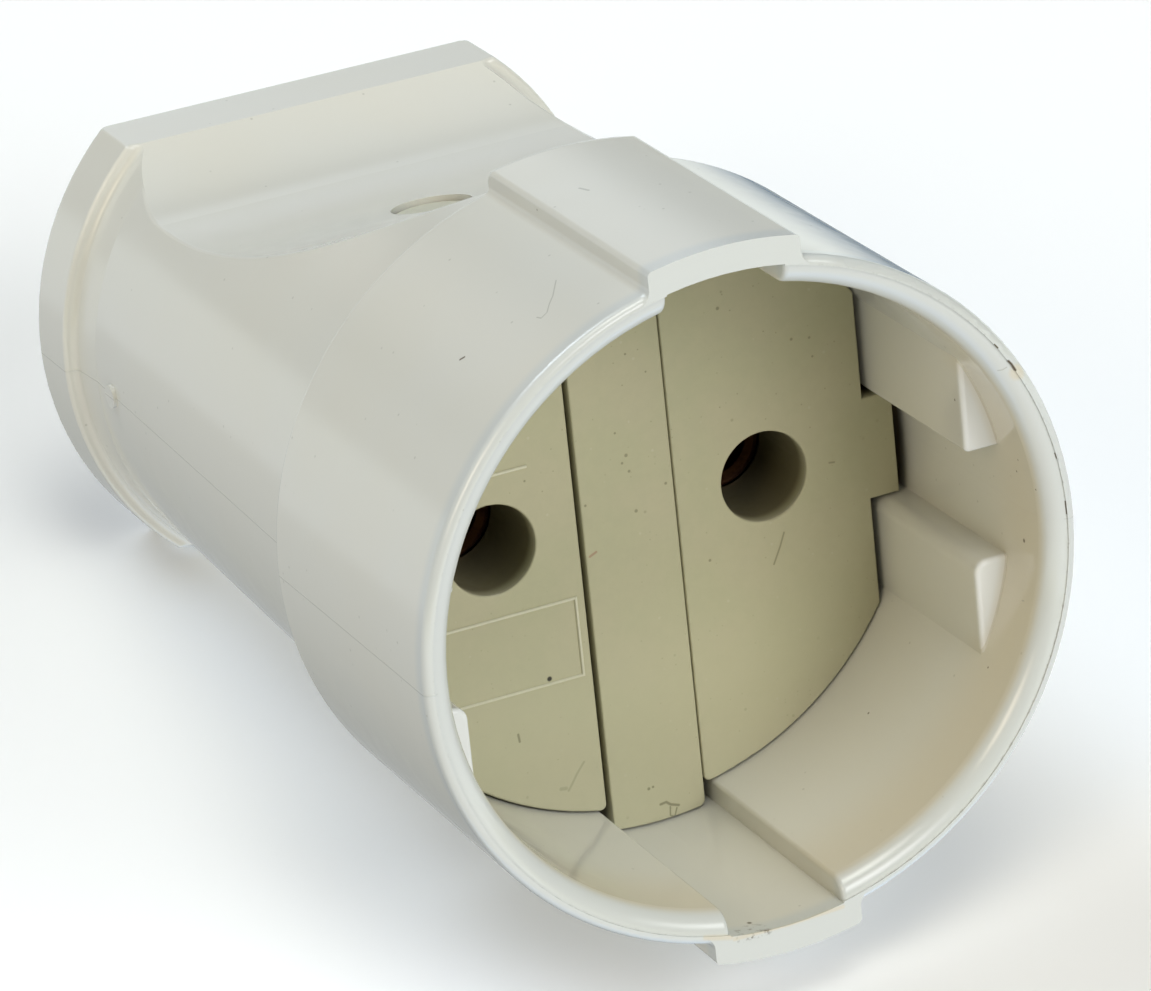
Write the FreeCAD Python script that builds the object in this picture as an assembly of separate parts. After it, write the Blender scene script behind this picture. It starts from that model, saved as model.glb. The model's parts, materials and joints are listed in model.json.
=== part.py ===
import FreeCAD, Part
import math
import os

# Inline socket connector: a round two-pin mains socket for the end of a cord.
#
# A one-piece white casing holds a beige core, which slides in from the mouth and
# clicks into a hole in each thumb scoop. The core is a centre spine with a contact
# block on each side, and it carries the contacts, their screws and the cord clamp.
# All sizes are in millimetres.
#
# The pieces are built on the socket's own axis: the front plane of the mouth is y = 0,
# +Y runs back along the axis, the pins lie along X, and the key ribs are above and
# below. At the end everything is laid down as the socket rests: on its lower key rib
# and on the lower edge of its rear flange, with the mouth a little raised.

Vector = FreeCAD.Vector

# Skirt and mouth
skirt_front_r = 22.0
skirt_taper = 0.1
skirt_length = 23.3
rim_outer_round = 0.55
rim_width = 0.6
rim_step = 0.1
lip_round = 1.35
shoulder_round = 0.5

# Grip, collar and flange behind the skirt
shoulder_step = 1.8
grip_taper = 1.2
grip_wall = 1.8
collar_length = 3.0
collar_rise = 0.25
collar_fillet = 0.5
flange_thickness = 5.2
flange_overhang = 1.1
flange_half_height = 14.67
flange_front_round = 0.3
flange_rear_round = 0.6
flange_corner_round = 0.3

# Thumb scoops above and below the grip
scoop_rise_length = 8.3
scoop_rise = 2.92
scoop_start_gap = 3.44
scoop_edge_round = 0.3

# Key ribs outside the skirt, and the channels behind them
rib_half_width = 5.03
rib_height = 1.3
rib_corner_round = 0.35
rib_rear_round = 1.0
rib_base_fillet = 0.5
channel_half_width = 3.91
channel_depth = 1.45
channel_edge_round = 0.3

# Guide ribs inside the well, two on each side
guide_height = 2.65
guide_gap_half = 3.7
guide_front_y = 5.2
guide_round = 0.3
guide_shelf_round = 0.9

# Openings and marks of the casing
entry_r = 4.7
entry_round = 0.8
rear_wall = 2.2
latch_hole_r = 2.7
latch_setback = 11.0
gate_r = 0.8
gate_height = 0.35
gate_setback = 3.1

# Core as it shows in the well
plate_thickness = 3.4
pin_spacing = 19.0
pin_hole_r = 3.0
pin_hole_depth = 6.8
block_clearance = 0.15
block_flat_clearance = 0.6
block_corner_round = 0.4
tab_reach = 1.46
tab_clearance = 0.25
bar_half_width = 3.24
bar_end_clearance = 0.15
bar_corner_round = 0.5
left_seam = 0.36
right_seam = 0.1
face_edge_round = 0.12

# Core inside the grip
web_half_width = 3.0
web_clearance = 0.25
web_beyond_latch = 4.6
block_wall = 1.4
block_body_round = 1.5
block_beyond_tail = 4.3
tongue_thickness = 1.7
tongue_slot = 1.0
tongue_length = 10.4
latch_clearance = 0.2
latch_below_surface = 0.4

# Contacts
sleeve_r = 3.0
sleeve_bore_r = 2.35
sleeve_length = 12.3
sleeve_slit = 1.0
sleeve_mouth_flare = 0.4
sleeve_play = 0.3
pocket_r = 4.3
tail_half_width = 3.0
tail_length = 9.7
spring_thickness = 0.45
spring_length = 6.0
spring_setback = 1.6
spring_opening = 4.2
chamber_half_width = 3.6
chamber_gap = 1.5

# Terminal screws and clamp plates
terminal_setback = 3.8
terminal_screw_r = 1.75
terminal_head_r = 2.9
terminal_head_height = 2.3
terminal_reach = 1.6
terminal_plate_half = 3.1
terminal_plate_thickness = 0.8
thread_play = 0.05
hole_play = 0.15
slot_width = 0.8
slot_depth = 0.9

# Tie screw through the three core mouldings
tie_setback = 1.6
tie_wall = 2.45
tie_r = 1.25
tie_head_r = 2.1
tie_head_height = 1.4
tie_nut_flats = 3.9
tie_nut_height = 1.7
tie_head_inset = 0.4

# Cord clamp
trough_r = 4.1
saddle_gap = 2.8
saddle_length = 5.6
saddle_beyond_screw = 3.3
cord_room = 7.8
saddle_pad_z = -1.4
saddle_recess = 0.3
saddle_round = 1.0
bridge_arch_r = 3.9
bridge_crown = 1.5
bridge_ear_height = 3.2
clamp_screw_wall = 4.0
clamp_screw_r = 1.5
clamp_head_r = 2.75
clamp_head_height = 1.9
clamp_nut_flats = 5.5
clamp_nut_height = 2.3
nut_inset = 0.3

# Radii and half widths that follow
skirt_rear_r = skirt_front_r - skirt_taper
rim_nose_r = skirt_front_r - rim_width
well_r = rim_nose_r - lip_round
rib_r = skirt_front_r + rib_height
channel_r = well_r + channel_depth
grip_front_r = skirt_rear_r - shoulder_step
grip_rear_r = grip_front_r - grip_taper
flange_r = grip_rear_r + flange_overhang
guide_x = well_r - guide_height
pin_x = pin_spacing / 2
block_r = well_r - block_clearance
block_flat_x = guide_x - block_flat_clearance
tab_x = guide_x + tab_reach
tab_half_height = guide_gap_half - tab_clearance
bar_end_r = channel_r - bar_end_clearance
block_body_x = pin_x + pocket_r + block_wall
clamp_screw_x = trough_r + clamp_screw_wall
saddle_half_width = clamp_screw_x + saddle_beyond_screw

# Heights that follow
scoop_floor_z = flange_half_height - scoop_rise
web_half_height = scoop_floor_z - grip_wall - web_clearance
block_body_half_height = web_half_height - tongue_thickness
tie_z = tie_wall - block_body_half_height
saddle_bottom_z = saddle_recess - web_half_height
floor_z = -sleeve_r
tail_top_z = -sleeve_bore_r

# Places along the axis, from the mouth to the rear
ledge_y = skirt_length - grip_wall
well_depth = ledge_y - plate_thickness
pin_hole_end_y = well_depth + pin_hole_depth
sleeve_front_y = pin_hole_end_y + sleeve_play
sleeve_rear_y = sleeve_front_y + sleeve_length
chamber_front_y = sleeve_rear_y + chamber_gap
tail_rear_y = sleeve_rear_y + tail_length
terminal_y = tail_rear_y - terminal_setback
block_rear_y = tail_rear_y + block_beyond_tail
saddle_front_y = block_rear_y + saddle_gap
saddle_rear_y = saddle_front_y + saddle_length
clamp_y = saddle_front_y + saddle_length / 2
inner_rear_y = saddle_rear_y + cord_room
total_length = inner_rear_y + rear_wall
flange_y = total_length - flange_thickness
collar_y = flange_y - collar_length
gate_y = collar_y - gate_setback
scoop_y = flange_y - scoop_rise_length
latch_y = scoop_y - latch_setback
tongue_front_y = latch_y - tongue_length
web_rear_y = latch_y + web_beyond_latch
tie_y = web_rear_y - tie_setback
beyond = 2.0


def rounded_wire(corners):
    """A closed wire in the XY plane through (x, y, rounding) corners."""
    points = [Vector(x, y, 0) for x, y, rounding in corners]
    count = len(points)
    arcs = []
    for i in range(count):
        here = points[i]
        rounding = corners[i][2]
        if rounding == 0:
            arcs.append((here, None, here))
            continue
        back = (points[i - 1] - here).normalize()
        ahead = (points[(i + 1) % count] - here).normalize()
        half = back.getAngle(ahead) / 2
        reach = rounding / math.tan(half)
        bisector = (back + ahead).normalize()
        middle = here + bisector * (rounding / math.sin(half) - rounding)
        arcs.append((here + back * reach, middle, here + ahead * reach))
    edges = []
    for i in range(count):
        start, middle, end = arcs[i]
        if middle is not None:
            edges.append(Part.Arc(start, middle, end).toShape())
        following = arcs[(i + 1) % count][0]
        if end.distanceToPoint(following) > 1e-6:
            edges.append(Part.LineSegment(end, following).toShape())
    return Part.Wire(edges)


def turned(corners):
    """A solid turned about the Y axis from (radius, y, rounding) corners."""
    profile = Part.Face(rounded_wire(corners))
    return profile.revolve(Vector(0, 0, 0), Vector(0, 1, 0), 360)


def prism_y(corners, y0, y1):
    """A prism along Y with (x, z, rounding) corners."""
    prism = Part.Face(rounded_wire(corners)).extrude(Vector(0, 0, y1 - y0))
    prism.rotate(Vector(0, 0, 0), Vector(1, 0, 0), 90)
    prism.translate(Vector(0, y1, 0))
    return prism


def box(x0, x1, y0, y1, z0, z1):
    return Part.makeBox(x1 - x0, y1 - y0, z1 - z0, Vector(x0, y0, z0))


def rod_x(radius, x0, x1, y, z):
    return Part.makeCylinder(radius, x1 - x0, Vector(x0, y, z), Vector(1, 0, 0))


def rod_y(radius, y0, y1, x=0, z=0):
    return Part.makeCylinder(radius, y1 - y0, Vector(x, y0, z), Vector(0, 1, 0))


def rod_z(radius, z0, z1, x, y):
    return Part.makeCylinder(radius, z1 - z0, Vector(x, y, z0), Vector(0, 0, 1))


def hexagon(flats, height, centre, axis):
    """A hexagonal prism that rises from its centre along an axis."""
    corner_r = flats / math.sqrt(3)
    turns = [math.radians(60 * i) for i in range(6)]
    corners = [(corner_r * math.cos(turn), corner_r * math.sin(turn), 0) for turn in turns]
    prism = Part.Face(rounded_wire(corners)).extrude(Vector(0, 0, height))
    prism.Placement = FreeCAD.Placement(centre, FreeCAD.Rotation(Vector(0, 0, 1), axis))
    return prism


def upside_down(shape):
    return shape.mirror(Vector(0, 0, 0), Vector(0, 0, 1))


def other_side(shape):
    return shape.mirror(Vector(0, 0, 0), Vector(1, 0, 0))


def with_rounded_edges(shape, radius, test):
    """The shape with a fillet on each edge whose middle point passes a test."""
    chosen = []
    for edge in shape.Edges:
        middle = edge.valueAt((edge.FirstParameter + edge.LastParameter) / 2)
        if test(middle):
            chosen.append(edge)
    return shape.makeFillet(radius, chosen)


def near(value, target):
    return abs(value - target) < 1e-3


def sagitta_radius(run, rise):
    """The radius of an arc that starts level and rises this much over this run."""
    return (run ** 2 + rise ** 2) / (2 * rise)


# The casing


def grip_radius(y):
    """The radius of the grip's outer cone."""
    return grip_front_r - grip_taper * (y - skirt_length) / (collar_y - skirt_length)


def scoop_solid(inset):
    """What the upper scoop and the flange's flat take away, sunk by an inset."""
    top = rib_r + beyond
    surface_y = skirt_length + scoop_start_gap
    front_r = sagitta_radius(scoop_y - surface_y, grip_radius(surface_y) - scoop_floor_z)
    rear_r = sagitta_radius(scoop_rise_length, scoop_rise)
    start_rise = grip_front_r + collar_rise - scoop_floor_z
    front_turn = math.acos(1 - start_rise / front_r)
    rear_turn = math.asin(scoop_rise_length / rear_r)

    def on_front(turn):
        return Vector(0, scoop_y - front_r * math.sin(turn),
                      scoop_floor_z - inset + front_r * (1 - math.cos(turn)))

    def on_rear(turn):
        return Vector(0, scoop_y + rear_r * math.sin(turn),
                      scoop_floor_z - inset + rear_r * (1 - math.cos(turn)))

    start = on_front(front_turn)
    lip = on_rear(rear_turn)
    back = Vector(0, total_length + beyond, lip.z)
    back_top = Vector(0, back.y, top)
    start_top = Vector(0, start.y, top)
    outline = Part.Wire([
        Part.Arc(start, on_front(front_turn / 2), on_front(0)).toShape(),
        Part.Arc(on_rear(0), on_rear(rear_turn / 2), lip).toShape(),
        Part.LineSegment(lip, back).toShape(),
        Part.LineSegment(back, back_top).toShape(),
        Part.LineSegment(back_top, start_top).toShape(),
        Part.LineSegment(start_top, start).toShape()])
    half_width = rib_r + beyond
    face = Part.Face(outline)
    face.translate(Vector(-half_width, 0, 0))
    return face.extrude(Vector(2 * half_width, 0, 0))


def key_ribs():
    """Both outer key ribs as the ends of one bar across the skirt."""
    bar = turned([(0, 0, 0),
                  (rib_r, 0, 0),
                  (rib_r, skirt_length, rib_rear_round),
                  (0, skirt_length, 0)])
    bar = bar.common(box(-rib_half_width, rib_half_width, 0, skirt_length,
                         -rib_r - beyond, rib_r + beyond))
    return with_rounded_edges(bar, rib_corner_round, lambda middle: (
        near(abs(middle.x), rib_half_width)
        and math.hypot(middle.x, middle.z) > skirt_front_r
        and 0.1 < middle.y < skirt_length - 0.1))


def guide_rib(upper):
    """One guide rib on the right side of the well, above or below the tab's slot."""
    reach_r = well_r + 0.4
    rib = box(guide_x, reach_r, guide_front_y, ledge_y, guide_gap_half, reach_r)
    long_round = guide_round if upper else guide_shelf_round
    rib = with_rounded_edges(rib, long_round, lambda middle: (
        near(middle.x, guide_x) and near(middle.z, guide_gap_half)))
    rib = with_rounded_edges(rib, guide_round, lambda middle: near(middle.y, guide_front_y)
                             and middle.x < reach_r - 0.1 and middle.z < reach_r - 0.1)
    rib = rib.common(rod_y(reach_r, 0, ledge_y))
    return rib if upper else upside_down(rib)


def casing_hollow():
    """The well with its rounded lip and its channels, and the hollow of the grip.

    The lip starts a small step below the rim's front plane.
    """
    well = turned([(0, -beyond, 0),
                   (rim_nose_r, -beyond, 0),
                   (rim_nose_r, rim_step, 0),
                   (well_r, rim_step, lip_round),
                   (well_r, ledge_y, 0),
                   (0, ledge_y, 0)])
    channels = rod_y(channel_r, -beyond, ledge_y).common(
        box(-channel_half_width, channel_half_width, -beyond, ledge_y, -channel_r, channel_r))
    well = with_rounded_edges(well.fuse(channels), channel_edge_round, lambda middle: (
        near(abs(middle.x), channel_half_width)
        and math.hypot(middle.x, middle.z) < channel_r - channel_depth / 2
        and -beyond / 2 < middle.y < ledge_y - 0.1))
    hollow = turned([(0, ledge_y - beyond, 0),
                     (grip_front_r - grip_wall, ledge_y - beyond, 0),
                     (grip_front_r - grip_wall, skirt_length, 0),
                     (grip_rear_r - grip_wall, collar_y, 0),
                     (grip_rear_r - grip_wall, inner_rear_y, rear_wall / 2),
                     (0, inner_rear_y, 0)])
    sunk_scoop = scoop_solid(grip_wall)
    hollow = hollow.cut([sunk_scoop, upside_down(sunk_scoop)])
    return [well, hollow]


def cord_entry():
    """The round hole in the rear wall, with a rounded outer edge."""
    flare_r = entry_r + entry_round + beyond
    return turned([(0, inner_rear_y - beyond, 0),
                   (entry_r, inner_rear_y - beyond, 0),
                   (entry_r, total_length, entry_round),
                   (flare_r, total_length, 0),
                   (flare_r, total_length + beyond, 0),
                   (0, total_length + beyond, 0)])


def make_casing():
    body = turned([(0, 0, 0),
                   (skirt_front_r, 0, rim_outer_round),
                   (skirt_rear_r, skirt_length, shoulder_round),
                   (grip_front_r, skirt_length, shoulder_round),
                   (grip_rear_r, collar_y, 0),
                   (grip_rear_r + collar_rise, flange_y, collar_fillet),
                   (flange_r, flange_y, flange_front_round),
                   (flange_r, total_length, flange_rear_round),
                   (0, total_length, 0)])
    scoop = scoop_solid(0)
    body = body.cut([scoop, upside_down(scoop)])
    gate = rod_x(gate_r, -grip_rear_r - gate_height, -grip_rear_r + grip_wall / 2, gate_y, 0)
    body = body.fuse([key_ribs(), gate]).cut(casing_hollow())
    body = with_rounded_edges(body, scoop_edge_round, lambda middle: (
        near(math.hypot(middle.x, middle.z), grip_radius(middle.y))
        and abs(middle.z) > 2 * gate_r
        and skirt_length + shoulder_round < middle.y < collar_y - shoulder_round))
    body = with_rounded_edges(body, flange_corner_round, lambda middle: (
        near(abs(middle.z), flange_half_height)
        and middle.y > flange_y + flange_thickness / 4
        and abs(middle.x) < flange_r - flange_rear_round))
    body = with_rounded_edges(body, rib_base_fillet, lambda middle: (
        near(abs(middle.x), rib_half_width)
        and well_r < math.hypot(middle.x, middle.z) < skirt_front_r))
    guides = [guide_rib(True), guide_rib(False)]
    guides += [other_side(guide) for guide in guides]
    body = body.fuse(guides)
    latch_hole = rod_z(latch_hole_r, web_half_height - tongue_thickness, rib_r, 0, latch_y)
    return body.cut([latch_hole, upside_down(latch_hole), cord_entry()])


# The three mouldings of the core


def block_plate(seam):
    """The right block's front plate: a D with a tab that fits between the guide ribs."""
    inner_x = bar_half_width + seam
    disc = rod_y(block_r, well_depth, ledge_y).common(
        box(inner_x, block_flat_x, well_depth, ledge_y, -block_r, block_r))
    disc = with_rounded_edges(disc, block_corner_round, lambda middle: (
        near(middle.x, inner_x) and abs(middle.z) > block_r / 2
        and near(middle.y, (well_depth + ledge_y) / 2)))
    tab = box(inner_x + block_corner_round, tab_x, well_depth, ledge_y,
              -tab_half_height, tab_half_height)
    plate = disc.fuse(tab).removeSplitter()
    return with_rounded_edges(plate, face_edge_round, lambda middle: near(middle.y, well_depth))


def make_block(seam, tie_pocket):
    """The right block: front plate, contact pocket and terminal chamber."""
    body = prism_y([(web_half_width, -block_body_half_height, 0),
                    (block_body_x, -block_body_half_height, block_body_round),
                    (block_body_x, block_body_half_height, block_body_round),
                    (web_half_width, block_body_half_height, 0)], ledge_y, block_rear_y)
    pocket = rod_y(pocket_r, pin_hole_end_y, chamber_front_y, pin_x)
    chamber = box(pin_x - chamber_half_width, pin_x + chamber_half_width,
                  chamber_front_y, block_rear_y + beyond,
                  floor_z, block_body_half_height + beyond)
    screw_hole = rod_z(terminal_screw_r + hole_play, floor_z - terminal_reach - hole_play,
                       floor_z + beyond, pin_x, terminal_y)
    tie_hole = rod_x(tie_r + hole_play, 0, block_body_x + beyond, tie_y, tie_z)
    body = body.cut([pocket, chamber, screw_hole, tie_hole, tie_pocket])
    pin_hole = turned([(0, well_depth - beyond, 0),
                       (pin_hole_r + beyond, well_depth - beyond, 0),
                       (pin_hole_r + beyond, well_depth, 0),
                       (pin_hole_r, well_depth, face_edge_round),
                       (pin_hole_r, pin_hole_end_y + beyond, 0),
                       (0, pin_hole_end_y + beyond, 0)])
    pin_hole.translate(Vector(pin_x, 0, 0))
    return body.fuse(block_plate(seam)).cut(pin_hole)


def make_core_left():
    head_pocket = rod_x(tie_head_r + hole_play, block_body_x - tie_head_height - tie_head_inset,
                        block_body_x + beyond, tie_y, tie_z)
    return other_side(make_block(left_seam, head_pocket))


def make_core_right():
    depth = tie_nut_height + tie_head_inset
    nut_pocket = hexagon(tie_nut_flats + hole_play, depth + beyond,
                         Vector(block_body_x - depth, tie_y, tie_z), Vector(1, 0, 0))
    return make_block(right_seam, nut_pocket)


def make_core_spine():
    """The centre bar, its web with two latch tongues, and the cord saddle behind."""
    bar = rod_y(bar_end_r, well_depth, ledge_y).common(
        box(-bar_half_width, bar_half_width, well_depth, ledge_y, -bar_end_r, bar_end_r))
    bar = with_rounded_edges(bar, bar_corner_round, lambda middle: (
        near(abs(middle.x), bar_half_width) and abs(middle.z) > bar_end_r / 2
        and near(middle.y, (well_depth + ledge_y) / 2)))
    bar = with_rounded_edges(bar, face_edge_round, lambda middle: near(middle.y, well_depth))
    web = box(-web_half_width, web_half_width, ledge_y, web_rear_y,
              -web_half_height, web_half_height)
    tongue_z = web_half_height - tongue_thickness
    slot = box(-web_half_width - beyond, web_half_width + beyond,
               tongue_front_y, web_rear_y + beyond, tongue_z - tongue_slot, tongue_z)
    link = box(-web_half_width, web_half_width, web_rear_y, saddle_front_y,
               -tongue_z + tongue_slot, -trough_r)
    tie_hole = rod_x(tie_r + hole_play, -web_half_width - beyond, web_half_width + beyond,
                     tie_y, tie_z)
    latch = rod_z(latch_hole_r - latch_clearance, tongue_z, rib_r, 0, latch_y)
    latch = latch.cut(scoop_solid(latch_below_surface))
    spine = bar.fuse([web, link, saddle()])
    spine = spine.cut([slot, upside_down(slot), tie_hole])
    return spine.fuse([latch, upside_down(latch)])


def saddle():
    """The block behind the web that the cord lies in, with pockets for two nuts."""
    body = prism_y([(-saddle_half_width, saddle_bottom_z, saddle_round),
                    (saddle_half_width, saddle_bottom_z, saddle_round),
                    (saddle_half_width, saddle_pad_z, 0),
                    (-saddle_half_width, saddle_pad_z, 0)], saddle_front_y, saddle_rear_y)
    cuts = [rod_y(trough_r, saddle_front_y - beyond, saddle_rear_y + beyond)]
    for x in (-clamp_screw_x, clamp_screw_x):
        cuts.append(rod_z(clamp_screw_r + hole_play, saddle_bottom_z, saddle_pad_z, x, clamp_y))
        cuts.append(hexagon(clamp_nut_flats + hole_play, clamp_nut_height + nut_inset + beyond,
                            Vector(x, clamp_y, saddle_bottom_z + clamp_nut_height + nut_inset),
                            Vector(0, 0, -1)))
    return body.cut(cuts)


# Contacts and terminals, built on the right side


def make_contact():
    """A rolled sleeve, slit along its top, and the terminal tail that it runs out into."""
    sleeve = rod_y(sleeve_r, sleeve_front_y, sleeve_rear_y, pin_x)
    tail = box(pin_x - tail_half_width, pin_x + tail_half_width,
               sleeve_rear_y - beyond, tail_rear_y, floor_z, tail_top_z)
    bore = turned([(0, sleeve_front_y - beyond, 0),
                   (sleeve_bore_r + sleeve_mouth_flare, sleeve_front_y - beyond, 0),
                   (sleeve_bore_r + sleeve_mouth_flare, sleeve_front_y, 0),
                   (sleeve_bore_r, sleeve_front_y + sleeve_mouth_flare, 0),
                   (sleeve_bore_r, sleeve_rear_y, 0),
                   (0, sleeve_rear_y, 0)])
    bore.translate(Vector(pin_x, 0, 0))
    slit = box(pin_x - sleeve_slit / 2, pin_x + sleeve_slit / 2,
               sleeve_front_y - beyond, sleeve_rear_y, 0, sleeve_r + beyond)
    screw_hole = rod_z(terminal_screw_r + thread_play, floor_z - beyond, tail_top_z + beyond,
                       pin_x, terminal_y)
    return sleeve.fuse(tail).cut([bore, slit, screw_hole])


def make_contact_spring():
    """A steel clip round the sleeve, open below, that presses the slit sleeve shut."""
    front_y = sleeve_front_y + spring_setback
    inner_r = sleeve_r + thread_play
    ring = rod_y(inner_r + spring_thickness, front_y, front_y + spring_length, pin_x)
    hole = rod_y(inner_r, front_y - beyond, front_y + spring_length + beyond, pin_x)
    opening = box(pin_x - spring_opening / 2, pin_x + spring_opening / 2,
                  front_y - beyond, front_y + spring_length + beyond, -pocket_r, 0)
    return ring.cut([hole, opening])


def slotted_screw(shank_r, head_r, head_height, length):
    """A screw that points down, the underside of its slotted head at the origin."""
    profile = turned([(0, -length, 0),
                      (shank_r, -length, shank_r / 4),
                      (shank_r, 0, 0),
                      (head_r, 0, 0),
                      (head_r, head_height, head_height / 4),
                      (0, head_height, 0)])
    slot = box(-slot_width / 2, slot_width / 2, head_height - slot_depth, head_height + beyond,
               -head_r, head_r)
    screw = profile.cut(slot)
    screw.rotate(Vector(0, 0, 0), Vector(1, 0, 0), 90)
    return screw


def make_terminal_plate():
    plate = box(pin_x - terminal_plate_half, pin_x + terminal_plate_half,
                terminal_y - terminal_plate_half, terminal_y + terminal_plate_half,
                tail_top_z, tail_top_z + terminal_plate_thickness)
    plate = with_rounded_edges(plate, terminal_plate_thickness / 2, lambda middle: (
        near(middle.z, tail_top_z + terminal_plate_thickness / 2)))
    hole = rod_z(terminal_screw_r + thread_play, floor_z, 0, pin_x, terminal_y)
    return plate.cut(hole)


def make_terminal_screw():
    head_z = tail_top_z + terminal_plate_thickness
    screw = slotted_screw(terminal_screw_r, terminal_head_r, terminal_head_height,
                          head_z - floor_z + terminal_reach)
    screw.translate(Vector(pin_x, terminal_y, head_z))
    return screw


# The tie through the core


def make_tie_screw():
    """From the left block's pocket, through the spine, to the right block's nut."""
    head_x = block_body_x - tie_head_inset - tie_head_height
    screw = slotted_screw(tie_r, tie_head_r, tie_head_height, head_x + block_body_x - tie_head_inset)
    screw.rotate(Vector(0, 0, 0), Vector(0, 1, 0), -90)
    screw.translate(Vector(-head_x, tie_y, tie_z))
    return screw


def make_tie_nut():
    place = Vector(block_body_x - tie_head_inset - tie_nut_height, tie_y, tie_z)
    nut = hexagon(tie_nut_flats, tie_nut_height, place, Vector(1, 0, 0))
    return nut.cut(rod_x(tie_r + thread_play, place.x - beyond, block_body_x + beyond,
                         tie_y, tie_z))


# The cord clamp


def make_cord_clamp():
    """A bridge with an arch for the cord and an ear for each screw."""
    crown_r = bridge_arch_r + bridge_crown
    ears = prism_y([(-saddle_half_width, saddle_pad_z, 0),
                    (saddle_half_width, saddle_pad_z, 0),
                    (saddle_half_width, saddle_pad_z + bridge_ear_height, saddle_round),
                    (-saddle_half_width, saddle_pad_z + bridge_ear_height, saddle_round)],
                   saddle_front_y, saddle_rear_y)
    crown = rod_y(crown_r, saddle_front_y, saddle_rear_y).common(
        box(-crown_r, crown_r, saddle_front_y, saddle_rear_y, saddle_pad_z, crown_r))
    cuts = [rod_y(bridge_arch_r, saddle_front_y - beyond, saddle_rear_y + beyond)]
    for x in (-clamp_screw_x, clamp_screw_x):
        cuts.append(rod_z(clamp_screw_r + hole_play, saddle_pad_z - beyond,
                          saddle_pad_z + bridge_ear_height + beyond, x, clamp_y))
    return ears.fuse(crown).cut(cuts)


def make_clamp_screw():
    head_z = saddle_pad_z + bridge_ear_height
    screw = slotted_screw(clamp_screw_r, clamp_head_r, clamp_head_height,
                          head_z - saddle_bottom_z - nut_inset)
    screw.translate(Vector(clamp_screw_x, clamp_y, head_z))
    return screw


def make_clamp_nut():
    place = Vector(clamp_screw_x, clamp_y, saddle_bottom_z + nut_inset)
    nut = hexagon(clamp_nut_flats, clamp_nut_height, place, Vector(0, 0, 1))
    return nut.cut(rod_z(clamp_screw_r + thread_play, place.z - beyond,
                         place.z + clamp_nut_height + beyond, clamp_screw_x, clamp_y))


# Laying the socket down


def resting_tilt():
    """The angle from the axis to the line that touches the lower rib and the flange."""
    rib_centre = (skirt_length - rib_rear_round, rib_rear_round - rib_r)
    flange_centre = (total_length - flange_rear_round, flange_rear_round - flange_half_height)
    run = flange_centre[0] - rib_centre[0]
    rise = flange_centre[1] - rib_centre[1]
    lean = math.asin((rib_rear_round - flange_rear_round) / math.hypot(run, rise))
    return math.atan2(rise, run) + lean


def lay_down(pieces):
    """Tilt every piece about X, then set the casing's box on the origin."""
    for shape in pieces.values():
        shape.rotate(Vector(0, 0, 0), Vector(1, 0, 0), -math.degrees(resting_tilt()))
    bounds = pieces["casing"].optimalBoundingBox(False, False)
    shift = Vector(-bounds.Center.x, -bounds.Center.y, -bounds.ZMin)
    for shape in pieces.values():
        shape.translate(shift)


def make_pieces():
    pieces = {"casing": make_casing(),
              "core_spine": make_core_spine(),
              "core_left": make_core_left(),
              "core_right": make_core_right(),
              "tie_screw": make_tie_screw(),
              "tie_nut": make_tie_nut(),
              "cord_clamp": make_cord_clamp()}
    paired = {"contact": make_contact,
              "contact_spring": make_contact_spring,
              "terminal_plate": make_terminal_plate,
              "terminal_screw": make_terminal_screw,
              "clamp_screw": make_clamp_screw,
              "clamp_nut": make_clamp_nut}
    for name, make in paired.items():
        pieces[name + "_right"] = make()
        pieces[name + "_left"] = other_side(make())
    return pieces


pieces = make_pieces()
lay_down(pieces)
os.makedirs("parts", exist_ok=True)
for name, shape in pieces.items():
    shape.exportStep("parts/" + name + ".step")
    print(name, len(shape.Solids), "solids", round(shape.Volume, 2), "mm3", shape.isValid())
print("tilt", round(math.degrees(resting_tilt()), 3), "degrees")
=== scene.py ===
import json
import math

import bpy
from mathutils import Matrix, Quaternion, Vector


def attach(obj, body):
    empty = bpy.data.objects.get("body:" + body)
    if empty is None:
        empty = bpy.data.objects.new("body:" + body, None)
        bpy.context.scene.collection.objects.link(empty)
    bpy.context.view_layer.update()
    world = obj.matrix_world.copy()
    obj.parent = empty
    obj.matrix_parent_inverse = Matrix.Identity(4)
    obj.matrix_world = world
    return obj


# The looks of the round inline socket: glossy white casing, matte olive-beige core, brass and
# plated steel inside. Blender works in metres. Places on the socket are given in millimetres
# on its own axis, as in the solids: y = 0 at the mouth, +y to the rear, x across the pins, z up.

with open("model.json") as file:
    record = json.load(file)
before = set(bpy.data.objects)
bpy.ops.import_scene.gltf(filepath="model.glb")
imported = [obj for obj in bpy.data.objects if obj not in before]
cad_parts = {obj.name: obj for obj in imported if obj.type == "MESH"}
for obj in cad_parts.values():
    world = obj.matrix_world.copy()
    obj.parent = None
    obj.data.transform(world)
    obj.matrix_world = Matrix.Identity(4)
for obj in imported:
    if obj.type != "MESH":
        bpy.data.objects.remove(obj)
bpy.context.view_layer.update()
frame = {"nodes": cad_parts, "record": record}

MM = 0.001
TILT = math.radians(10.412)
AXIS_SHIFT = Vector((0.0, -33.5946, 27.0617))
TO_WORLD = Matrix.Rotation(-TILT, 3, "X")


def place(x, y, z):
    """A point of the socket's own axes, in millimetres, as a point of the scene in metres."""
    return (TO_WORLD @ Vector((x, y, z)) + AXIS_SHIFT) * MM


# Camera

CAMERA_PLACE = Vector((-0.155541, -0.342549, 0.249476))
CAMERA_AIM = Vector((0.35823, 0.77079, -0.52684))
CAMERA_ROLL = math.radians(-1.373)
CAMERA_LENS = 213.0
CAMERA_SENSOR = 36.0

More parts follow.
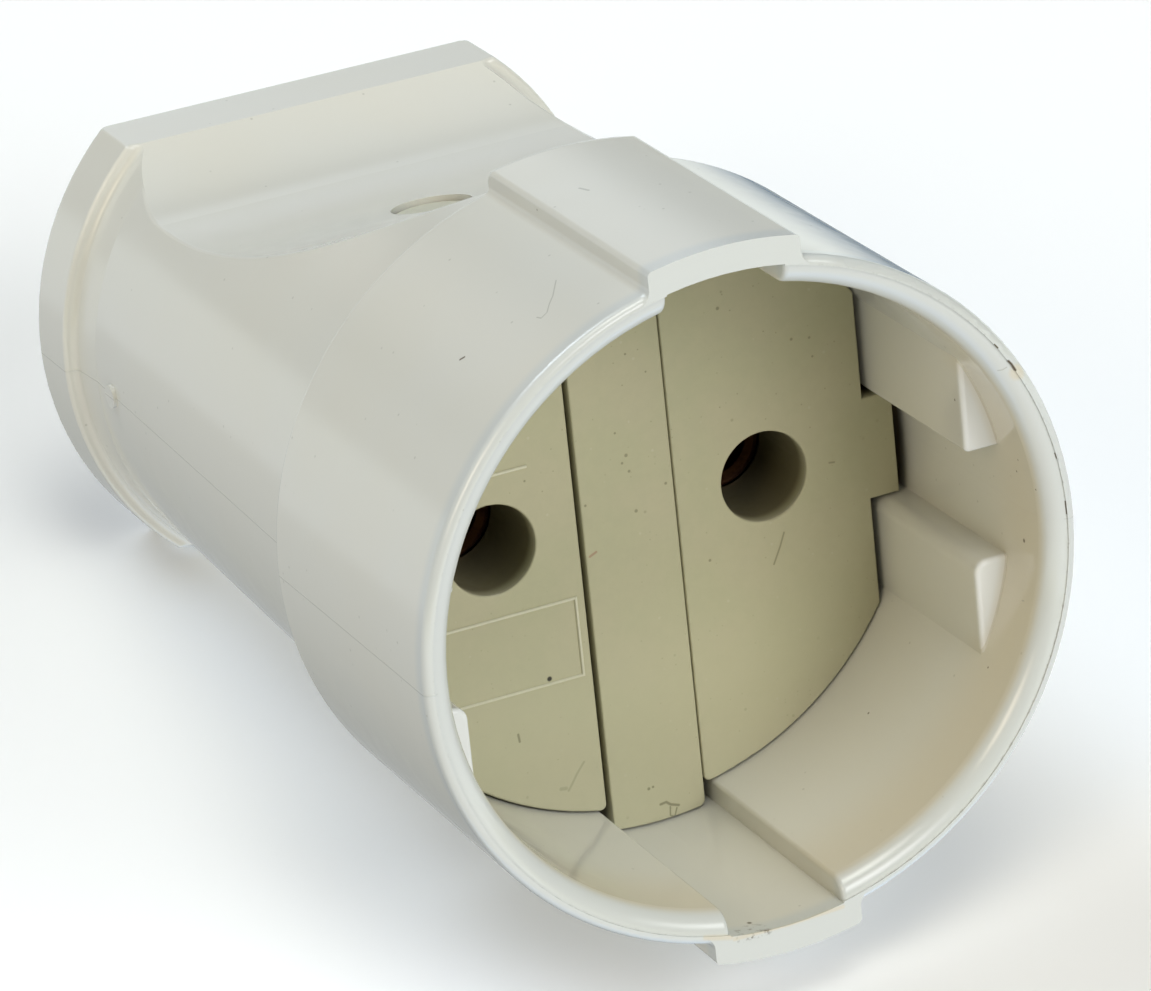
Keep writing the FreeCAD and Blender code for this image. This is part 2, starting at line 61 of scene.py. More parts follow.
camera_data = bpy.data.cameras.new("camera")
camera = bpy.data.objects.new("camera", camera_data)
bpy.context.scene.collection.objects.link(camera)
bpy.context.scene.camera = camera
camera_data.lens = CAMERA_LENS
camera_data.sensor_width = CAMERA_SENSOR
camera_data.clip_start = 0.01
camera_data.clip_end = 50.0
camera.rotation_mode = "QUATERNION"
camera.location = CAMERA_PLACE
camera.rotation_quaternion = (CAMERA_AIM.to_track_quat("-Z", "Y")
                              @ Quaternion((0.0, 0.0, 1.0), CAMERA_ROLL))


# Node building


class Surface:
    """A material with short calls for its nodes. Masks run from 0 to 1."""

    def __init__(self, name):
        self.material = bpy.data.materials.new(name)
        self.material.use_nodes = True
        self.tree = self.material.node_tree
        self.shader = self.tree.nodes["Principled BSDF"]

    def node(self, kind, inputs=(), **settings):
        made = self.tree.nodes.new(kind)
        for key, value in settings.items():
            setattr(made, key, value)
        for key, value in dict(inputs).items():
            self.feed(made.inputs[key], value)
        return made

    def feed(self, socket, value):
        if isinstance(value, bpy.types.NodeSocket):
            self.tree.links.new(value, socket)
        else:
            socket.default_value = value

    def put(self, **inputs):
        """Sets the shader's own inputs; underscores in a name stand for spaces."""
        for key, value in inputs.items():
            self.feed(self.shader.inputs[key.replace("_", " ")], value)

    def math(self, operation, a, b=0.0):
        made = self.node("ShaderNodeMath", {0: a, 1: b}, operation=operation)
        return made.outputs[0]

    def vector(self, operation, a, b=(0.0, 0.0, 0.0), out=0):
        made = self.node("ShaderNodeVectorMath", {0: a, 1: b}, operation=operation)
        return made.outputs[out]

    def axes(self):
        """The surface point on the socket's own axes, in millimetres."""
        coordinates = self.node("ShaderNodeTexCoord")
        offset = -(TO_WORLD.transposed() @ AXIS_SHIFT)
        mapping = self.node("ShaderNodeMapping",
                            {"Vector": coordinates.outputs["Object"],
                             "Location": offset,
                             "Rotation": (TILT, 0.0, 0.0),
                             "Scale": (1 / MM, 1 / MM, 1 / MM)})
        return mapping.outputs[0]

    def split(self, vector):
        parts = self.node("ShaderNodeSeparateXYZ", {0: vector})
        return parts.outputs[0], parts.outputs[1], parts.outputs[2]

    def noise(self, vector, scale, detail=2.0, roughness=0.5):
        made = self.node("ShaderNodeTexNoise", {"Vector": vector, "Scale": scale,
                                                "Detail": detail, "Roughness": roughness})
        return made.outputs[0]

    def ramp(self, value, low_painted_light, high, to_low=0.0, to_high=1.0):
        """A smooth step from one value to another."""
        made = self.node("ShaderNodeMapRange",
                         {"Value": value, "From Min": low_painted_light, "From Max": high,
                          "To Min": to_low, "To Max": to_high},
                         interpolation_type="SMOOTHSTEP")
        return made.outputs[0]

    def mix(self, share, a, b):
        """A colour, with some share of it replaced by another."""
        made = self.node("ShaderNodeMix", data_type="RGBA")
        self.feed(made.inputs[0], share)
        self.feed(made.inputs[6], a)
        self.feed(made.inputs[7], b)
        return made.outputs[2]

    def paint(self, tint, *layers):
        """Lays colours over a tint in turn, each by its mask and by how much it covers."""
        for mask, cover, colour in layers:
            tint = self.mix(self.math("MULTIPLY", mask, cover), tint, colour)
        return tint

    def all_of(self, *masks):
        found = masks[0]
        for mask in masks[1:]:
            found = self.math("MULTIPLY", found, mask)
        return found

    def any_of(self, masks):
        found = masks[0]
        for mask in masks[1:]:
            found = self.math("MAXIMUM", found, mask)
        return found

    def any_by_share(self, *shares):
        """The strongest of several masks, each weakened to its share."""
        return self.any_of([self.math("MULTIPLY", mask, share) for mask, share in shares])

    def band(self, value, middle, half_width, softness=0.5):
        """1 where a value is near its middle, 0 away from it."""
        away = self.math("ABSOLUTE", self.math("SUBTRACT", value, middle))
        return self.ramp(away, half_width * (1 - softness), half_width * (1 + softness), 1.0, 0.0)

    def below(self, value, low_painted_light, high):
        """1 under the low value, and from there down to 0 at the high one."""
        return self.ramp(value, low_painted_light, high, 1.0, 0.0)

    def nearest(self, distances):
        """The least of some distances, each as a multiple of the radius that goes with it."""
        found = None
        for distance, radius in distances:
            scaled = self.math("MULTIPLY", distance, 1 / radius)
            found = scaled if found is None else self.math("MINIMUM", found, scaled)
        return found

    def spots(self, axes, balls):
        """1 inside any of some small balls, 0 away from them."""
        distances = [(self.vector("DISTANCE", axes, centre, "Value"), radius)
                     for centre, radius in balls]
        return self.below(self.nearest(distances), 0.6, 1.3)

    def streaks(self, axes, lines):
        """1 along any of some thin lines, each through its points, 0 away from them."""
        distances = []
        for points, radius in lines:
            for start, end in zip(points, points[1:]):
                along = Vector(end) - Vector(start)
                offset = self.vector("SUBTRACT", axes, start)
                share = self.vector("DOT_PRODUCT", offset, along / along.length_squared, "Value")
                share = self.node("ShaderNodeClamp", {"Value": share}).outputs[0]
                foot = self.node("ShaderNodeVectorMath", {0: along, "Scale": share},
                                 operation="SCALE").outputs[0]
                distances.append((self.vector("DISTANCE", offset, foot, "Value"), radius))
        return self.below(self.nearest(distances), 0.4, 1.3)

    def grains(self, axes, scale, radius, share):
        """Small scattered specks: one cell in some holds a grain of about this radius."""
        cells = self.node("ShaderNodeTexVoronoi", {"Vector": axes, "Scale": scale})
        chosen = self.ramp(self.split(cells.outputs["Color"])[0], 1 - share, 1 - share * 0.9)
        reach = radius * scale
        inside = self.below(cells.outputs["Distance"], reach * 0.5, reach * 1.4)
        return self.all_of(chosen, inside)

    def bump(self, height_mm):
        """The normal of a surface raised by a height in millimetres."""
        made = self.node("ShaderNodeBump", {"Height": height_mm, "Distance": MM, "Strength": 1.0})
        return made.outputs[0]


def grey(value):
    return (value, value, value, 1.0)


# Casing plastic: its colours, and where its marks lie. A mark is a ball or a thin line, with
# its radius.

CASING_WHITE = (0.618, 0.615, 0.566, 1.0)
CASING_WARM = (0.618, 0.610, 0.552, 1.0)
# Painted shade: the rim's front face is darkened, standing in for less light falling on it.
RIM_PAINTED_SHADE = (0.55, 0.57, 0.555, 1.0)
# Painted highlight: the front ends of the guide ribs are lightened, standing in for light caught
# on them.
GUIDE_END_PAINTED_HIGHLIGHT = (0.71, 0.725, 0.72, 1.0)
FADED_MARK = (0.33, 0.33, 0.29, 1.0)
STAIN = (0.60, 0.49, 0.30, 1.0)
# Painted shade: brown darkening inside the well behind the core's face, where shade falls between
# casing and core.
RECESS_PAINTED_SHADE = (0.12, 0.085, 0.05, 1.0)
GRIME = (0.085, 0.062, 0.035, 1.0)

CASING_IOR = 1.5
CASING_ROUGHNESS = (0.10, 0.18)
GRIME_ROUGHNESS = 0.7
WAVE_HEIGHT = 0.02
SEAM_HEIGHT = 0.018

SEAM_HALF_WIDTH = 0.05
SKIRT_END_Y = 23.3
SKIRT_OUTSIDE_R = 21.2
GRIP_OUTSIDE_R = 18.3
RIM_LINE_R = 21.4
LIP_WARM_R = 19.95
GUIDE_END_Y = 5.23
GUIDE_END_R = 19.9
RECESS_Y = 19.1
RECESS_END_Y = 22.5
RECESS_R = 20.7

CASING_SPECKS = [((-5.0, 15.7, 22.2), 0.08),
                 ((12.8, 10.2, 17.8), 0.10), ((17.0, 6.1, 10.6), 0.12),
                 ((16.34, 6.7, 11.6), 0.07), ((19.9, 3.5, 2.4), 0.08),
                 ((17.4, 6.2, 6.95), 0.09), ((20.0, 1.25, 1.9), 0.07),
                 ((17.2, 4.2, -10.4), 0.08), ((12.8, 12.9, -15.5), 0.09),
                 ((19.75, 2.9, 3.4), 0.07), ((19.9, 3.3, -2.2), 0.14),
                 ((-1.9, 1.6, -21.45), 0.16)]
HAIR_SCRATCH = ([(-7.55, 7.9, 20.55), (-8.45, 6.5, 20.2), (-9.05, 5.85, 20.0),
                 (-9.45, 5.3, 19.8), (-9.9, 5.2, 19.55), (-10.0, 5.6, 19.5)], 0.055)
LIP_HAIR = ([(17.6, 0.39, 10.67), (17.85, 0.27, 10.7), (18.1, 0.16, 10.83)], 0.045)
TOP_NICK = ([(-2.35, 15.1, 23.15), (-2.1, 14.3, 23.17)], 0.10)
WELL_SCRATCH = ([(19.0, 3.2, -5.9), (19.3, 2.3, -5.8)], 0.05)
RIM_MARKS = [([(18.18, 0.05, 11.23), (18.4, 0.03, 10.94), (18.6, 0.05, 10.55)], 0.11),
             ([(17.34, 0.03, 12.55), (17.54, 0.03, 12.28)], 0.06),
             ([(20.89, 0.1, 4.46), (20.98, 0.1, 4.11)], 0.06),
             ([(21.35, 0.1, 1.13), (21.38, 0.1, 0.3)], 0.06)]
SKIRT_DASH = ([(-14.0, 8.62, 16.9), (-13.8, 8.4, 17.08)], 0.09)
RIM_STAIN = ((18.75, 0.0, 10.35), 0.55)
CHANNEL_DIRT = [([(-3.3, 0.1, -21.5), (-2.2, 0.1, -21.5), (-1.4, 0.1, -21.52)], 0.28),
                ([(-2.9, 0.9, -21.4), (-1.7, 0.8, -21.45)], 0.5)]
CHANNEL_STAINS = [([(-5.6, 0.0, -20.75), (-3.9, 0.0, -21.2)], 0.22),
                  ([(-3.7, 0.0, -21.4), (0.0, 0.0, -21.5), (3.8, 0.0, -21.4)], 0.16)]


def casing_finish():
    """Glossy white, with its mould seam, handling marks and rim dirt, painted shade on the rim
    face and in the recess behind the core, and a painted highlight on the guide rib ends.
    """
    casing = Surface("casing_plastic")
    axes = casing.axes()
    x, y, z = casing.split(axes)
    from_axis = casing.math("SQRT", casing.math("ADD", casing.math("MULTIPLY", x, x),
                                                casing.math("MULTIPLY", z, z)))
    broad = casing.noise(axes, 0.07, 2.0)
    patches = casing.noise(axes, 0.45, 4.0, 0.6)
    ragged = casing.noise(axes, 2.6, 3.0, 0.6)

    outside_r = casing.ramp(y, SKIRT_END_Y - 0.2, SKIRT_END_Y + 0.2,
                            SKIRT_OUTSIDE_R, GRIP_OUTSIDE_R)
    outside = casing.math("GREATER_THAN", from_axis, outside_r)
    seam = casing.all_of(casing.band(z, 0.0, SEAM_HALF_WIDTH), outside)
    dust = casing.grains(axes, 1.1, 0.09, 0.10)
    scratches = casing.streaks(axes, [HAIR_SCRATCH, LIP_HAIR, TOP_NICK, WELL_SCRATCH])

    # Painted shade on the rim's front face.
    rim_painted_shade = casing.below(y, 0.7, 1.8)
    lip_warmth = casing.all_of(casing.band(from_axis, LIP_WARM_R, 0.35, 0.9),
                               casing.ramp(y, 0.5, 1.4),
                               casing.below(y, 2.5, 9.0))
    # Painted highlight on the front ends of the guide ribs.
    guide_end_painted_highlight = casing.all_of(casing.below(y, GUIDE_END_Y + 0.2, GUIDE_END_Y + 0.6),
                              casing.ramp(y, GUIDE_END_Y - 0.2, GUIDE_END_Y - 0.1),
                              casing.math("LESS_THAN", from_axis, GUIDE_END_R))
    # Painted shade inside the well behind the core's face.
    recess_painted_shade = casing.all_of(casing.ramp(y, RECESS_Y, RECESS_Y + 1.0),
                           casing.math("LESS_THAN", y, RECESS_END_Y),
                           casing.math("LESS_THAN", from_axis, RECESS_R))

    stains = casing.any_of([casing.spots(axes, [RIM_STAIN]),
                            casing.streaks(axes, CHANNEL_STAINS)])
    # A ragged darker line round the rim's front face, stronger towards the right.
    rim_line = casing.all_of(casing.band(from_axis, RIM_LINE_R, 0.07), casing.below(y, 0.2, 0.4))
    rim_dark_line = casing.all_of(rim_line, casing.ramp(ragged, 0.5, 0.75),
                              casing.ramp(x, 0.0, 18.0, 0.3, 1.0))
    channel_dirt = casing.all_of(casing.streaks(axes, CHANNEL_DIRT),
                                 casing.ramp(ragged, 0.50, 0.66))
    grime = casing.any_by_share((casing.spots(axes, CASING_SPECKS), 0.85),
                                (casing.streaks(axes, RIM_MARKS + [SKIRT_DASH]), 1.0),
                                (rim_dark_line, 0.3),
                                (channel_dirt, 0.8))

    tint = casing.mix(casing.ramp(broad, 0.35, 0.65), CASING_WHITE, CASING_WARM)
    tint = casing.paint(tint,
                        (rim_painted_shade, 1.0, RIM_PAINTED_SHADE),
                        (guide_end_painted_highlight, 1.0, GUIDE_END_PAINTED_HIGHLIGHT),
                        (seam, 0.14, FADED_MARK),
                        (dust, 0.45, FADED_MARK),
                        (lip_warmth, 0.35, STAIN),
                        (stains, 0.4, STAIN),
                        (recess_painted_shade, 0.9, RECESS_PAINTED_SHADE),
                        (scratches, 0.6, FADED_MARK),
                        (grime, 1.0, GRIME))

    waves = casing.math("MULTIPLY", casing.noise(axes, 0.11, 1.0), WAVE_HEIGHT)
    height = casing.math("ADD", waves, casing.math("MULTIPLY", seam, SEAM_HEIGHT))
    rough = casing.ramp(patches, 0.35, 0.75, *CASING_ROUGHNESS)
    rough = casing.math("MAXIMUM", rough, casing.math("MULTIPLY", grime, GRIME_ROUGHNESS))
    casing.put(Base_Color=tint, Roughness=rough, IOR=CASING_IOR, Normal=casing.bump(height))
    return casing


# Core plastic: its colours, and where the marks of its face lie, given across and up

CORE_BEIGE = (0.430, 0.412, 0.262, 1.0)
CORE_PINK = (0.445, 0.415, 0.272, 1.0)
# Painted light: the core's face is lightened towards its bottom.
CORE_LOW_PAINTED_LIGHT = (0.56, 0.54, 0.37, 1.0)
# Pale specks, and also the painted highlight on the rounded edges of the face.
CORE_PALE_FLECK_AND_HIGHLIGHT = (0.56, 0.54, 0.40, 1.0)
# Painted highlight on the tops of the raised lines.
CORE_RIDGE_PAINTED_HIGHLIGHT = (0.66, 0.64, 0.50, 1.0)
# Scuffs, mottling and marks, and also the painted shade towards the core's right side.
CORE_SCUFF_AND_SHADE = (0.20, 0.19, 0.11, 1.0)
# Painted shade: darkening of the core behind its face.
CORE_DEEP_PAINTED_SHADE = (0.10, 0.082, 0.038, 1.0)
CORE_BLACK = (0.02, 0.018, 0.012, 1.0)
TONGUE_PALE = (0.60, 0.59, 0.48, 1.0)
RUST = (0.30, 0.13, 0.08, 1.0)

CORE_IOR = 1.48
CORE_ROUGHNESS = (0.42, 0.52)
GRAIN_HEIGHT = 0.004

CORE_FACE_Y = 18.13
TONGUE_Y = 44.0

CORE_DOT = ((-6.57, -9.6), 0.17)
CORE_SPECKS = [((7.4, 11.9), 0.12), ((12.25, 8.6), 0.10),
               ((13.5, 8.4), 0.09), ((13.6, 7.1), 0.08),
               ((-0.6, -18.95), 0.11), ((-0.3, -18.9), 0.09),
               ((5.2, -4.65), 0.10), ((0.2, 3.85), 0.12), ((-0.12, 3.4), 0.09),
               ((0.3, 2.75), 0.10), ((-0.4, 5.5), 0.08), ((0.5, 0.0), 0.12),
               ((0.84, 10.5), 0.08), ((2.1, 9.0), 0.07), ((2.7, 1.3), 0.10),
               ((-6.8, 3.95), 0.08), ((-2.9, 1.25), 0.09)]
CORE_SCRATCHES = [([(10.5, -4.15), (10.15, -5.0), (9.6, -6.1)], 0.07),
                  ([(-9.1, -12.75), (-9.05, -13.25)], 0.09),
                  ([(0.1, -20.25), (0.5, -20.2), (0.8, -20.45), (1.35, -20.65)], 0.10),
                  ([(0.75, -20.6), (0.7, -21.2), (1.0, -21.35), (1.2, -20.8)], 0.06),
                  ([(14.1, -0.3), (14.45, -0.35)], 0.07)]
CORE_SCUFFS = [([(-4.85, -15.85), (-5.4, -16.5), (-5.8, -17.1), (-6.1, -17.5)], 0.09),
               ([(-6.6, -17.25), (-6.25, -17.3)], 0.14)]
RUSTY_FLECK = ([(-2.5, -2.0), (-2.95, -2.2)], 0.09)


def on_face(across, up):
    """A point of the core's face on the socket's own axes."""
    return (across, CORE_FACE_Y, up)


def balls_on_face(balls):
    return [(on_face(*centre), radius) for centre, radius in balls]


def lines_on_face(lines):
    return [([on_face(*point) for point in points], radius) for points, radius in lines]


def core_finish():
    """Matte olive-beige with fine specks and a few scuffs on its face, with painted shade towards
    its right side and in its recesses, painted light towards its bottom, and painted highlights on
    its edges and ridge tops.
    """
    core = Surface("core_plastic")
    axes = core.axes()
    x, y, z = core.split(axes)
    broad = core.noise(axes, 0.16, 3.0)
    mottle = core.noise(axes, 1.3, 3.0, 0.6)
    grain = core.noise(axes, 7.0, 2.0, 0.6)

    cloud = core.ramp(mottle, 0.3, 0.7, 0.06, 0.0)
    # Painted light, growing towards the bottom of the core's face.
    low_painted_light = core.ramp(z, -14.0, -3.0, 0.45, 0.0)
    # Painted shade: the face darkens towards its right side.
    shaded_side = core.ramp(x, 6.0, 17.5)
    # Painted highlight: a thin pale band on the rounded edges just behind the face, round the pin
    # holes and along the seams.
    edge_painted_highlight = core.all_of(core.ramp(y, CORE_FACE_Y + 0.06, CORE_FACE_Y + 0.14),
                       core.below(y, CORE_FACE_Y + 0.25, CORE_FACE_Y + 0.4))
    # Painted highlight on the tops of the raised lines in front of the face.
    ridge_top_painted_highlight = core.below(y, CORE_FACE_Y - 0.07, CORE_FACE_Y - 0.01)
    # Painted shade on surfaces behind the face: pin hole walls and the seams between the blocks.
    deep_painted_shade = core.ramp(y, CORE_FACE_Y + 0.3, CORE_FACE_Y + 1.3)
    tongue = core.ramp(y, TONGUE_Y - 1.0, TONGUE_Y)

    specks = core.spots(axes, balls_on_face(CORE_SPECKS))
    dust = core.all_of(core.any_of([core.grains(axes, 0.9, 0.11, 0.12),
                                    core.grains(axes, 2.3, 0.055, 0.2)]),
                       core.ramp(broad, 0.35, 0.6, 0.3, 1.0),
                       core.ramp(z, -8.0, 8.0, 0.5, 1.0))
    pale_dust = core.grains(axes, 1.45, 0.10, 0.12)
    marks = core.any_by_share((core.streaks(axes, lines_on_face(CORE_SCRATCHES)), 0.8),
                              (core.streaks(axes, lines_on_face(CORE_SCUFFS)), 0.35),
                              (specks, 0.8),
                              (dust, 0.6))
    black_dot = core.spots(axes, balls_on_face([CORE_DOT]))
    fleck = core.streaks(axes, lines_on_face([RUSTY_FLECK]))

    tint = core.mix(core.ramp(broad, 0.35, 0.65), CORE_BEIGE, CORE_PINK)
    tint = core.paint(tint,
                      (cloud, 1.0, CORE_SCUFF_AND_SHADE),
                      (low_painted_light, 1.0, CORE_LOW_PAINTED_LIGHT),
                      (pale_dust, 0.3, CORE_PALE_FLECK_AND_HIGHLIGHT),
                      (edge_painted_highlight, 0.7, CORE_PALE_FLECK_AND_HIGHLIGHT),
                      (ridge_top_painted_highlight, 0.8, CORE_RIDGE_PAINTED_HIGHLIGHT),
                      (shaded_side, 0.38, CORE_SCUFF_AND_SHADE),
                      (marks, 1.0, CORE_SCUFF_AND_SHADE),
                      (deep_painted_shade, 0.76, CORE_DEEP_PAINTED_SHADE),
                      (tongue, 0.9, TONGUE_PALE),
                      (black_dot, 1.0, CORE_BLACK),
                      (fleck, 0.6, RUST))
    core.put(Base_Color=tint, Roughness=core.ramp(mottle, 0.3, 0.7, *CORE_ROUGHNESS),
             IOR=CORE_IOR, Normal=core.bump(core.math("MULTIPLY", grain, GRAIN_HEIGHT)))
    return core


# Metals: dull bronze contacts, and zinc-plated screws, nuts and clips

BRASS_COLOURS = ((0.14, 0.065, 0.03, 1.0), (0.07, 0.03, 0.02, 1.0))
STEEL_COLOURS = ((0.56, 0.57, 0.59, 1.0), (0.42, 0.42, 0.43, 1.0))


def metal_finish(name, scale, patch_edges, colours, roughness):
    """Metal in patches of two colours and of varying gloss."""
    metal = Surface(name)
    patches = metal.noise(metal.axes(), scale, 4.0, 0.6)
    metal.put(Base_Color=metal.mix(metal.ramp(patches, *patch_edges), *colours),
              Metallic=1.0, Roughness=metal.ramp(patches, 0.3, 0.7, *roughness))
    return metal


finishes = {
    "casing_plastic": casing_finish(),
    "core_plastic": core_finish(),
    "contact_brass": metal_finish("contact_brass", 0.9, (0.4, 0.7), BRASS_COLOURS, (0.28, 0.5)),
    "plated_steel": metal_finish("plated_steel", 1.4, (0.35, 0.65), STEEL_COLOURS, (0.26, 0.42)),
}
for part in frame["record"]["subparts"]:
    node = frame["nodes"][part["node"]]
    for slot in node.material_slots:
        slot.material = finishes[part["material_slot"]].material

# Raised lines on the left block's face: a plain frame below the pin hole and a bar above it

RIDGE_HALF_WIDTH = 0.15
RIDGE_TOP_SHARE = 0.35
RIDGE_HEIGHT = 0.13
RIDGE_SUNK = 0.05
PIN_X = -9.5
FRAME_HALF_WIDTH = 5.25
FRAME_TOP_Z = -4.66
FRAME_BOTTOM_Z = -9.93
BAR_HALF_WIDTH = 2.9
BAR_Z = 4.91


def ridge(name, corners, closed):
    """A thin raised line on the core's face, with sloped sides, through (x, z) corners."""
    count = len(corners)
    rings = []
    for i, (corner_x, corner_z) in enumerate(corners):
        here = Vector((corner_x, corner_z))
        before = Vector(corners[i - 1]) if closed or i > 0 else None
        after = Vector(corners[(i + 1) % count]) if closed or i < count - 1 else None
        arriving = (here - before).normalized() if before else None
        leaving = (after - here).normalized() if after else None
        arriving = arriving or leaving
        leaving = leaving or arriving
        across = Vector((-(arriving + leaving).y, (arriving + leaving).x)).normalized()
        side = Vector((-arriving.y, arriving.x))
        across = across / across.dot(side)
        ring = []
        for share, rise in ((-1.0, -RIDGE_SUNK), (-RIDGE_TOP_SHARE, RIDGE_HEIGHT),
                            (RIDGE_TOP_SHARE, RIDGE_HEIGHT), (1.0, -RIDGE_SUNK)):
            point = here + across * (share * RIDGE_HALF_WIDTH)
            ring.append(place(point.x, CORE_FACE_Y - rise, point.y))
        rings.append(ring)
    vertices = [point for ring in rings for point in ring]
    faces = []
    for i in range(count if closed else count - 1):
        a, b = 4 * i, 4 * ((i + 1) % count)
        for k in range(4):
            n = (k + 1) % 4
            faces.append((a + k, b + k, b + n, a + n))
    if not closed:
        faces.append((0, 1, 2, 3))
        last = 4 * (count - 1)
        faces.append((last + 3, last + 2, last + 1, last))
    mesh = bpy.data.meshes.new(name)
    mesh.from_pydata(vertices, [], faces)
    mesh.materials.append(finishes["core_plastic"].material)
    made = bpy.data.objects.new(name, mesh)
    bpy.context.scene.collection.objects.link(made)
    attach(made, "root")


ridge("face_frame", [(PIN_X - FRAME_HALF_WIDTH, FRAME_BOTTOM_Z),
                     (PIN_X + FRAME_HALF_WIDTH, FRAME_BOTTOM_Z),
                     (PIN_X + FRAME_HALF_WIDTH, FRAME_TOP_Z),
                     (PIN_X - FRAME_HALF_WIDTH, FRAME_TOP_Z)], True)
ridge("face_bar", [(PIN_X - BAR_HALF_WIDTH, BAR_Z), (PIN_X + BAR_HALF_WIDTH, BAR_Z)], False)

# Floor and light

# The plain floor that the camera sees. The socket is lit by the sky below instead, which has
# a dimmer floor in it, darkest on the shadow side, so the white plastic keeps its modelling.
FLOOR_REACH = 3.0
FLOOR_GREY = 0.93
FLOOR_ROUGHNESS = 0.9
floor_mesh = bpy.data.meshes.new("floor")
floor_mesh.from_pydata([(-FLOOR_REACH, -FLOOR_REACH, 0), (FLOOR_REACH, -FLOOR_REACH, 0),
                        (FLOOR_REACH, FLOOR_REACH, 0), (-FLOOR_REACH, FLOOR_REACH, 0)],
                       [], [(0, 1, 2, 3)])
floor = bpy.data.objects.new("floor", floor_mesh)
bpy.context.scene.collection.objects.link(floor)
floor.visible_diffuse = False
floor.visible_glossy = False
floor.visible_transmission = False
floor.visible_shadow = False
floor_paint = Surface("floor")
floor_paint.put(Base_Color=grey(FLOOR_GREY), Roughness=FLOOR_ROUGHNESS)
floor_mesh.materials.append(floor_paint.material)

# Wide soft lights, as glows of the sky. Azimuth 0 is in front of the mouth and 90 on its right;
# the reach is from a glow's middle to where it ends. All angles are in degrees.
SKY_STRENGTH = 0.6
SKY_BASE = (0.03, 0.03, 0.03)
BACKDROP_GREY = 0.9
SKY_GLOWS = {
    "key_front": {"azimuth": 12, "elevation": 31, "reach": 21, "colour": (11.9, 12.0, 12.4)},
    "key_front_right": {"azimuth": 36, "elevation": 31, "reach": 21, "colour": (10.5, 10.9, 10.9)},
    "left_warm": {"azimuth": -60, "elevation": 31, "reach": 21, "colour": (10.8, 9.1, 6.5)},
    "overhead": {"azimuth": 0, "elevation": 76, "reach": 23, "colour": (12.4, 12.6, 11.8)},
    "rear_left_high": {"azimuth": -144, "elevation": 53, "reach": 23,
                       "colour": (13.1, 14.9, 16.8)},
    "rear_low": {"azimuth": 166, "elevation": 12, "reach": 17, "colour": (1.8, 1.9, 2.0)},
    "rear_low_left": {"azimuth": -170, "elevation": 12, "reach": 17, "colour": (1.0, 0.9, 0.8)},
    "rear_right_shade": {"azimuth": 148, "elevation": -22, "reach": 15,
                         "colour": (-1.1, -1.0, -0.9)},
}

# The lit floor as the socket sees it, by the angle above the horizon
SHADOW_SIDE_AZIMUTH = -150
SHADOW_SIDE_REACH = (45, 85)
FLOOR_ON_SHADOW_SIDE = [(-90, (0.0, 0.0, 0.0)), (-52, (0.1, 0.1, 0.1)), (-38, (0.62, 0.65, 0.64)),
                        (-27, (0.88, 0.94, 1.0)), (-22, (0.95, 1.0, 1.05)),
                        (-20, (1.50, 1.60, 1.70)), (-5, (1.50, 1.60, 1.60)),
                        (-3, (0.50, 0.50, 0.50)), (4, (0.50, 0.50, 0.50)), (8, (0.0, 0.0, 0.0))]
FLOOR_ELSEWHERE = [(-90, (0.6, 0.8, 1.1)), (-55, (2.2, 2.8, 3.8)), (-38, (2.1, 2.0, 1.6)),
                   (-27, (1.8, 1.7, 1.7)), (-15, (1.6, 1.6, 1.6)), (-7, (3.2, 3.4, 3.2)),
                   (-2, (1.5, 1.5, 0.8)), (3, (0.0, 0.0, 0.0))]

world = bpy.data.worlds.new("world")
bpy.context.scene.world = world
world.use_nodes = True


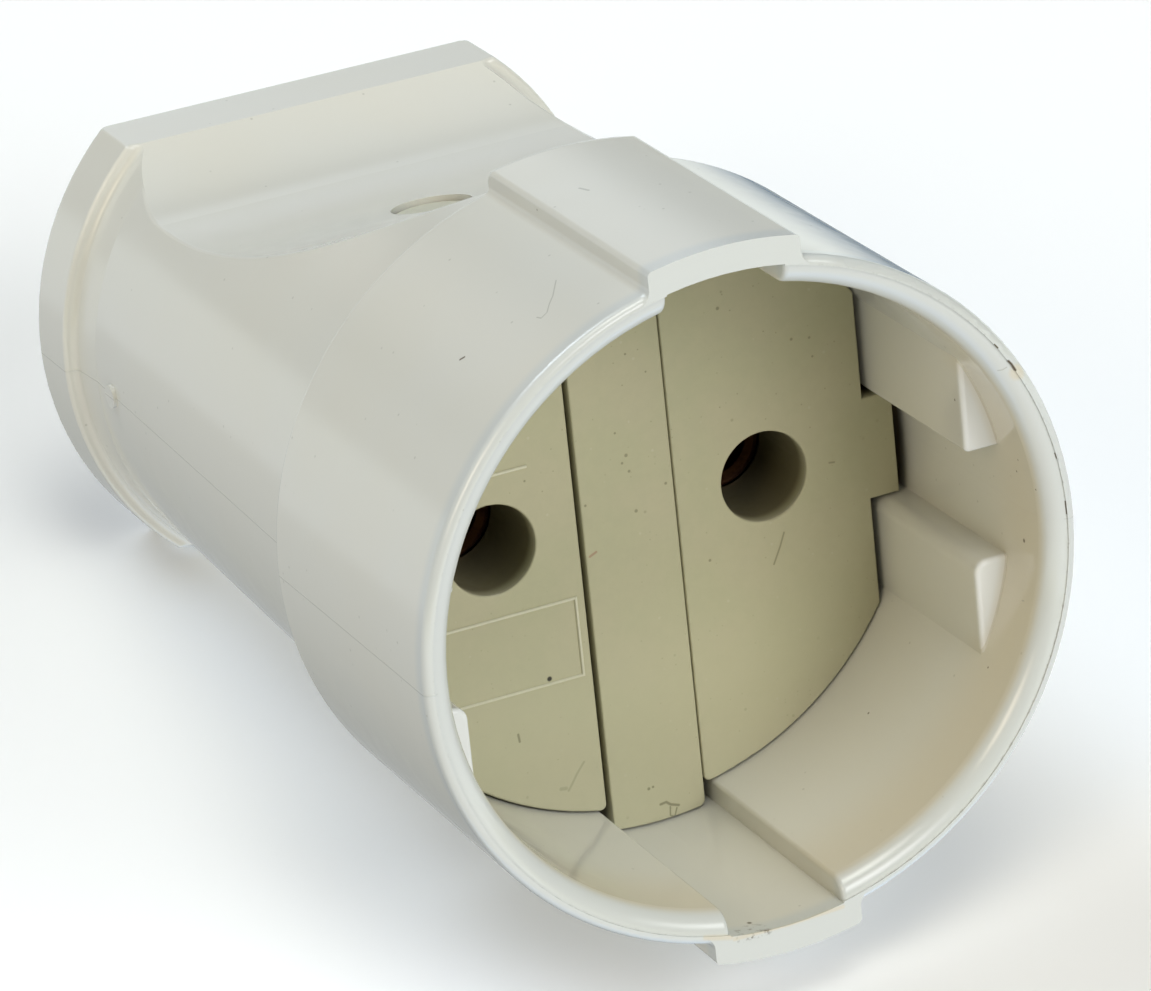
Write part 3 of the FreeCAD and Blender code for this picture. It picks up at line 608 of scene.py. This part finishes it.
def make_sky(tree):
    """A dim even sky with a soft round glow for each light, and the lit floor below it."""

    def node(kind, inputs, out=0, **settings):
        made = tree.nodes.new(kind)
        for key, value in settings.items():
            setattr(made, key, value)
        for key, value in inputs.items():
            if isinstance(value, bpy.types.NodeSocket):
                tree.links.new(value, made.inputs[key])
            else:
                made.inputs[key].default_value = value
        return made.outputs[out]

    def toward(azimuth, elevation):
        turn, rise = math.radians(azimuth), math.radians(elevation)
        axis = (math.sin(turn) * math.cos(rise), -math.cos(turn) * math.cos(rise),
                math.sin(rise))
        return node("ShaderNodeVectorMath", {0: direction, 1: axis}, "Value",
                    operation="DOT_PRODUCT")

    def smooth(value, low_painted_light, high, to_low, to_high):
        return node("ShaderNodeMapRange",
                    {"Value": value, "From Min": low_painted_light, "From Max": high,
                     "To Min": to_low, "To Max": to_high}, interpolation_type="SMOOTHSTEP")

    def by_elevation(stops):
        made = tree.nodes.new("ShaderNodeValToRGB")
        tree.links.new(share_of_turn, made.inputs[0])
        points = made.color_ramp.elements
        while len(points) < len(stops):
            points.new(0.5)
        for point, (angle, colour) in zip(points, stops):
            point.position = angle / 180 + 0.5
            point.color = (*colour, 1.0)
        return made.outputs[0]

    direction = node("ShaderNodeTexCoord", {})
    height = node("ShaderNodeSeparateXYZ", {0: direction}, 2)
    elevation = node("ShaderNodeMath", {0: height}, operation="ARCSINE")
    share_of_turn = node("ShaderNodeMapRange",
                         {"Value": elevation, "From Min": -math.pi / 2, "From Max": math.pi / 2})
    flat = node("ShaderNodeMath", {0: elevation}, operation="COSINE")
    to_shadow_side = node("ShaderNodeMath", {0: toward(SHADOW_SIDE_AZIMUTH, 0), 1: flat},
                          operation="DIVIDE")
    near, far = (math.cos(math.radians(angle)) for angle in SHADOW_SIDE_REACH)
    shadow_side = smooth(to_shadow_side, far, near, 0.0, 1.0)
    below = tree.nodes.new("ShaderNodeMix")
    below.data_type = "RGBA"
    tree.links.new(shadow_side, below.inputs[0])
    tree.links.new(by_elevation(FLOOR_ELSEWHERE), below.inputs[6])
    tree.links.new(by_elevation(FLOOR_ON_SHADOW_SIDE), below.inputs[7])
    sky = node("ShaderNodeVectorMath", {0: SKY_BASE, 1: below.outputs[2]}, operation="ADD")
    for glow in SKY_GLOWS.values():
        angle = node("ShaderNodeMath", {0: toward(glow["azimuth"], glow["elevation"])},
                     operation="ARCCOSINE")
        share = smooth(angle, 0.0, math.radians(glow["reach"]), 1.0, 0.0)
        lit = node("ShaderNodeVectorMath", {0: glow["colour"], "Scale": share}, operation="SCALE")
        sky = node("ShaderNodeVectorMath", {0: sky, 1: lit}, operation="ADD")
    lights = tree.nodes["Background"]
    tree.links.new(sky, lights.inputs[0])
    lights.inputs[1].default_value = SKY_STRENGTH
    backdrop = node("ShaderNodeBackground", {0: grey(BACKDROP_GREY)})
    seen = node("ShaderNodeLightPath", {}, "Is Camera Ray")
    shown = node("ShaderNodeMixShader", {0: seen, 1: lights.outputs[0], 2: backdrop})
    tree.links.new(shown, tree.nodes["World Output"].inputs[0])


make_sky(world.node_tree)

bpy.context.scene.view_settings.view_transform = "Standard"
